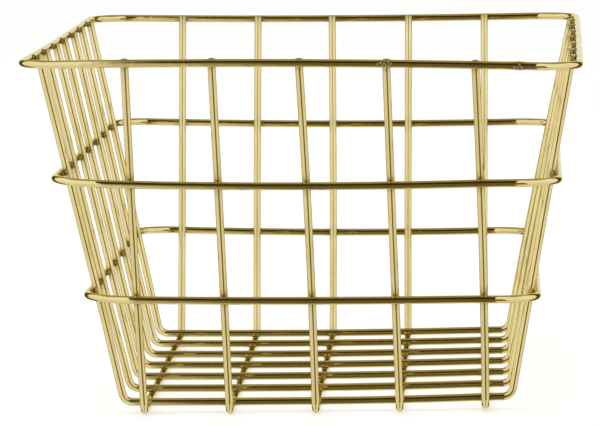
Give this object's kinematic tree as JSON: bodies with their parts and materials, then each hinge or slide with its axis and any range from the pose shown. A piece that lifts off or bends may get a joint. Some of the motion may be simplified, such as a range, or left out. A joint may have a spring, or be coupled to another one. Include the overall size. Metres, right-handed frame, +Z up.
{
  "type": "wire storage basket",
  "caption": "Tapered open wire basket with a rectangular rim, two wall rings and a square mesh floor, for toiletries and towels.",
  "frame": {"origin": "middle of the basket, on the surface that it stands on", "axes": "+Z up, X across the basket between the two long walls, Y along it between the two short walls"},
  "size_m": [0.2496, 0.3272, 0.1615],
  "materials": {
    "brass_wire": "polished brass plate on round wire"
  },
  "bodies": {
    "root": {"rim_ring": "brass_wire", "upper_ring": "brass_wire", "lower_ring": "brass_wire", "long_wire_1": "brass_wire", "long_wire_2": "brass_wire", "long_wire_3": "brass_wire", "long_wire_4": "brass_wire", "long_wire_5": "brass_wire", "cross_wire_1": "brass_wire", "cross_wire_2": "brass_wire", "cross_wire_3": "brass_wire", "cross_wire_4": "brass_wire", "cross_wire_5": "brass_wire", "cross_wire_6": "brass_wire", "cross_wire_7": "brass_wire"}
  },
  "joints": []
}
